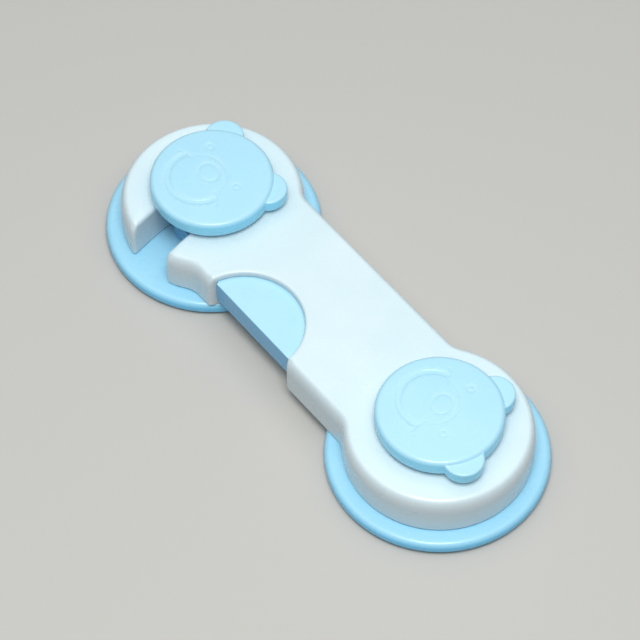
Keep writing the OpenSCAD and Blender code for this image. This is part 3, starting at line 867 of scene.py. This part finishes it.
def foam_pad(name, y, body, node):
    """A pad with shallow dents below, a swollen edge, and a flat face against its disc."""
    bm = bmesh.new()
    low = [(r, DENT * (1 - math.cos(r * DENT_WAVE))) for r in PAD_RINGS]
    edge = [(PAD_R - BULGE + BULGE * math.sin(math.pi * t), PAD_T * t) for t in (0.06, 0.25, 0.5, 0.75, 0.94)]
    lathe(bm, low + edge + [(r, PAD_T) for r in PAD_RINGS[::-1]], PAD_STEPS, (0, y))
    bmesh.ops.recalc_face_normals(bm, faces=bm.faces)
    pad = piece(name, bm, foam, body, node)
    return pad


foam = closed_cell_foam()
foam_pad("pivot_foam_pad", -POST, "pivot", "pivot_pad")
foam_pad("catch_foam_pad", POST, "catch", "catch_pad")

# %% [markdown]
# ## Button, bolt and cover
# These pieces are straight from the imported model: plain mouldings whose edges only need the small round that
# a mould gives. A copy of each mesh is merged, its flat triangles are joined, and its edges are bevelled.


# %% Softened copies
LOOSE, FLAT, HARD = 0.002, 1, 30  # mm to merge over; degrees still flat, degrees of an edge


def softened(name, node, material, body, offset, steps):
    """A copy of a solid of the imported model, with its edges bevelled by an offset in millimetres."""
    bm = bmesh.new()
    bm.from_mesh(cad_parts[node].data)
    bmesh.ops.scale(bm, vec=(1 / MM, 1 / MM, 1 / MM), verts=bm.verts)
    bmesh.ops.remove_doubles(bm, verts=bm.verts, dist=LOOSE)
    bmesh.ops.dissolve_limit(bm, angle_limit=math.radians(FLAT), verts=bm.verts, edges=bm.edges)
    sharp = [e for e in bm.edges if e.is_manifold and e.calc_face_angle(0) > math.radians(HARD)]
    bmesh.ops.bevel(bm, geom=sharp, offset=offset, offset_type="OFFSET", segments=steps, profile=0.5,
                    affect="EDGES", clamp_overlap=True)
    bmesh.ops.triangulate(bm, faces=[f for f in bm.faces if len(f.verts) > 4])
    return piece(name, bm, material, body, node, sharp=40)


softened("finger_button", "push_button", button_abs, "button", offset=0.45, steps=4)
softened("spring_bolt", "latch_bolt", shade_dark_bolt_abs, "bolt", offset=0.2, steps=3)
softened("arm_cover", "cover_plate", white_abs, "arm", offset=0.12, steps=2)

# %% [markdown]
# ## Return spring and screws
# The spring is steel wire wound in ten turns, with a closed turn at each end. A spiral curve with a round
# profile is that rule exactly, so Geometry Nodes wind it from four sizes. The screws repeat one shape: a
# threaded, cross-recessed screw is made once, and a second tree sets it on a point for each hole.


# %% Zinc-plated steel
ZINC_PATCH = 1.5  # mm


def zinc_steel():
    """Bright zinc on steel: a metal's mirror, dulled in fine patches by handling and passivation."""
    made, tree, skin = blank("zinc_plated_steel")
    skin.inputs["Metallic"].default_value = 1
    place = add(tree, "ShaderNodeTexCoord").outputs["Object"]
    patches = add(tree, "ShaderNodeTexNoise", {},
                  {"Vector": place, "Scale": 1 / (ZINC_PATCH * MM), "Detail": 4})
    bright = add(tree, "ShaderNodeMix", {"data_type": "RGBA"},
                 {0: patches.outputs["Fac"], 6: linear("#c3c6c8"), 7: linear("#a9adb2")})
    tree.links.new(bright.outputs[2], skin.inputs["Base Color"])
    dull = add(tree, "ShaderNodeMapRange", {},
               {"Value": patches.outputs["Fac"], "To Min": 0.2, "To Max": 0.45})
    tree.links.new(dull.outputs["Result"], skin.inputs["Roughness"])
    return made


zinc = zinc_steel()
print("material:", zinc.name)


# %% Node trees with named inputs
def node_tree(name, sizes):
    """A geometry tree with named inputs, its group input, and the identifier of each input."""
    tree = bpy.data.node_groups.new(name, "GeometryNodeTree")
    tree.interface.new_socket("Geometry", in_out="INPUT", socket_type="NodeSocketGeometry")
    keys = {}
    for label, kind in sizes.items():
        keys[label] = tree.interface.new_socket(label, in_out="INPUT", socket_type=kind).identifier
    tree.interface.new_socket("Geometry", in_out="OUTPUT", socket_type="NodeSocketGeometry")
    return tree, add(tree, "NodeGroupInput"), keys


def close_tree(tree, geometry, material):
    """Every tree ends in real geometry with its material."""
    real = add(tree, "GeometryNodeRealizeInstances", {}, {"Geometry": geometry})
    dressed = add(tree, "GeometryNodeSetMaterial", {}, {"Geometry": real.outputs[0], "Material": material})
    add(tree, "NodeGroupOutput", {}, {"Geometry": dressed.outputs[0]})


def grown(tree, keys, values, points=((0, 0, 0),)):
    """Runs a tree on some points in millimetres and gives the result as a mesh in millimetres."""
    mesh = bpy.data.meshes.new("points")
    mesh.from_pydata(points, [], [])
    host = placed("points", mesh)
    step = host.modifiers.new("nodes", "NODES")
    step.node_group = tree
    for label, value in values.items():
        step[keys[label]] = value
    made = applied(host)
    host.modifiers.remove(step)
    bm = bmesh.new()
    bm.from_mesh(made)
    for old in (made, mesh):
        bpy.data.meshes.remove(old)
    return bm


print("node trees so far:", len(bpy.data.node_groups))

# %% Tree of the return spring
FLOAT = "NodeSocketFloat"
CLOSED_ENDS = ((0.1, 0.032), (0.9, 0.968))  # share of the wire, share of the length: an end turn each


def spring_nodes():
    """A tree that winds wire: a flat spiral is drawn out along its axis and gets a round profile."""
    tree, sizes, keys = node_tree("wound_spring", {
        "Coil radius": FLOAT, "Wire radius": FLOAT, "Turns": FLOAT, "Length": FLOAT,
        "Start": "NodeSocketVector"})
    spiral = add(tree, "GeometryNodeCurveSpiral", {},
                 {"Resolution": 24, "Rotations": sizes.outputs["Turns"], "Height": 0.0,
                  "Start Radius": sizes.outputs["Coil radius"], "End Radius": sizes.outputs["Coil radius"]})
    along = add(tree, "GeometryNodeSplineParameter")
    pitch = add(tree, "ShaderNodeFloatCurve", {}, {"Value": along.outputs["Factor"]})
    bends = pitch.mapping.curves[0].points
    for x, y in CLOSED_ENDS:
        bends.new(x, y)
    for point in bends:
        point.handle_type = "VECTOR"
    pitch.mapping.update()
    lift = add(tree, "ShaderNodeMath", {"operation": "MULTIPLY"},
               {0: pitch.outputs["Value"], 1: sizes.outputs["Length"]})
    upward = add(tree, "ShaderNodeCombineXYZ", {}, {"Z": lift.outputs[0]})
    wound = add(tree, "GeometryNodeSetPosition", {},
                {"Geometry": spiral.outputs["Curve"], "Offset": upward.outputs["Vector"]})
    wire = add(tree, "GeometryNodeCurvePrimitiveCircle", {},
               {"Resolution": 10, "Radius": sizes.outputs["Wire radius"]})
    tube = add(tree, "GeometryNodeCurveToMesh", {},
               {"Curve": wound.outputs["Geometry"], "Profile Curve": wire.outputs["Curve"],
                "Fill Caps": True})
    laid = add(tree, "GeometryNodeTransform", {},
               {"Geometry": tube.outputs["Mesh"], "Translation": sizes.outputs["Start"],
                "Rotation": (-math.pi / 2, 0, 0)})
    close_tree(tree, laid.outputs["Geometry"], zinc)
    return tree, keys


spring_tree, spring_keys = spring_nodes()
print("nodes of the spring:", len(spring_tree.nodes))

# %% Return spring
WIRE, COIL, TURNS = 0.28, 1.5, 10.0  # mm: radii of the wire and of the coil

spring_run = spring_high[1] - spring_low[1] - 2 * WIRE
coil = grown(spring_tree, spring_keys,
             {"Coil radius": COIL, "Wire radius": WIRE, "Turns": TURNS, "Length": spring_run,
              "Start": (spring_x, spring_low[1] + WIRE, spring_z)})
spring = piece("steel_spring", coil, zinc, "arm", "return_spring", sharp=60)
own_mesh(spring)


# %% One screw
SCREW_SIDES, THREAD_ROWS = 20, 6     # sides of a screw, rows of points in each turn
CORE, CREST, POINT = 0.8, 0.2, 0.02  # shares of the shank's radius


def screw_shape(head, shank, low, high, thread, recess):
    """A screw standing on its head: head profile, threaded shank, point, and a cross recess."""
    bm = bmesh.new()
    rows = int((high - low) / thread * THREAD_ROWS)
    last = lathe(bm, [(0, head[0][1])] + head, SCREW_SIDES)[-1]
    for k in range(rows + 1):
        z = low + (high - low) * k / rows
        core = shank * (CORE if z < high - shank else CORE * (high - z) / shank + POINT)
        crest = CREST * shank if low + thread / 2 < z < high - shank / 2 else 0
        ring = []
        for i in range(SCREW_SIDES):
            t = (z / thread - i / SCREW_SIDES) % 1
            r = core + crest * abs(2 * t - 1) ** 2
            a = 2 * math.pi * i / SCREW_SIDES
            ring.append(bm.verts.new((r * math.cos(a), r * math.sin(a), z)))
        for i in range(SCREW_SIDES):
            j = (i + 1) % SCREW_SIDES
            bm.faces.new((last[i], last[j], ring[j], ring[i]))
        last = ring
    bm.faces.new(last)
    bmesh.ops.recalc_face_normals(bm, faces=bm.faces)
    long, wide, deep = recess
    cross = [(-long, -wide), (-wide, -wide), (-wide, -long), (wide, -long), (wide, -wide), (long, -wide),
             (long, wide), (wide, wide), (wide, long), (-wide, long), (-wide, wide), (-long, wide)]
    return carve(bm, prism(cross, head[0][1] - 1, head[0][1] + deep))


cover_z, cover_shank = ARM_LOW + 0.05, 0.95    # heads of the cover screws, sunk a little, and their shank
cap_z, cap_shank, seat_z = 1.8, 1.5, HEAD_TOP  # heads of the cap screws, their shank and their seat
flat_head = [(1.7, cover_z), (HEAD, cover_z + 0.08), (cover_shank, cover_z + 0.95)]
pan_head = [(2.2, cap_z)] + arc(2.2, cap_z + 0.7, 0.7, -60, 0, 3)
pan_head += [(2.9, seat_z - 0.05), (2.85, seat_z), (cap_shank, seat_z)]
print("heads in mm across:", 2 * max(flat_head)[0], 2 * max(pan_head)[0])


# %% Screws on their points
def screw_nodes():
    """A tree that sets a screw on every point, each turned at random about its own axis."""
    tree, sizes, keys = node_tree("screw_set", {"Screw": "NodeSocketObject", "Seed": "NodeSocketInt"})
    shape = add(tree, "GeometryNodeObjectInfo", {}, {"Object": sizes.outputs["Screw"]})
    spin = add(tree, "FunctionNodeRandomValue", {"data_type": "FLOAT"},
               {2: 0.0, 3: 2 * math.pi, "Seed": sizes.outputs["Seed"]})
    turned = add(tree, "ShaderNodeCombineXYZ", {}, {"Z": spin.outputs[1]})
    set_out = add(tree, "GeometryNodeInstanceOnPoints", {},
                  {"Points": sizes.outputs["Geometry"], "Instance": shape.outputs["Geometry"],
                   "Rotation": turned.outputs["Vector"]})
    close_tree(tree, set_out.outputs["Instances"], zinc)
    return tree, keys


def screw_set(name, bm, points, seed, body, node):
    """One piece for all the screws of a node."""
    mesh = bpy.data.meshes.new("screw")
    bm.to_mesh(mesh)
    bm.free()
    pattern = bpy.data.objects.new("screw", mesh)
    made = grown(screw_tree, screw_keys, {"Screw": pattern, "Seed": seed}, points)
    bpy.data.meshes.remove(mesh)
    return piece(name, made, zinc, body, node)


screw_tree, screw_keys = screw_nodes()
cover_screw = screw_shape(flat_head, cover_shank, low=cover_z + 1, high=cover_z + 5.9, thread=0.8,
                          recess=(1.0, 0.2, 0.45))
screw_set("cover_screw_set", cover_screw, [(x, y, 0) for x, y in cover_holes], 3, "arm", "cover_screws")
for body, y, seed in (("pivot", -POST, 5), ("catch", POST, 8)):
    cap_screw = screw_shape(pan_head, cap_shank, low=3.9, high=13.0, thread=1.1, recess=(1.6, 0.32, 0.95))
    screw_set(body + "_cap_screw", cap_screw, [(0, y, 0)], seed, body, body + "_screw")
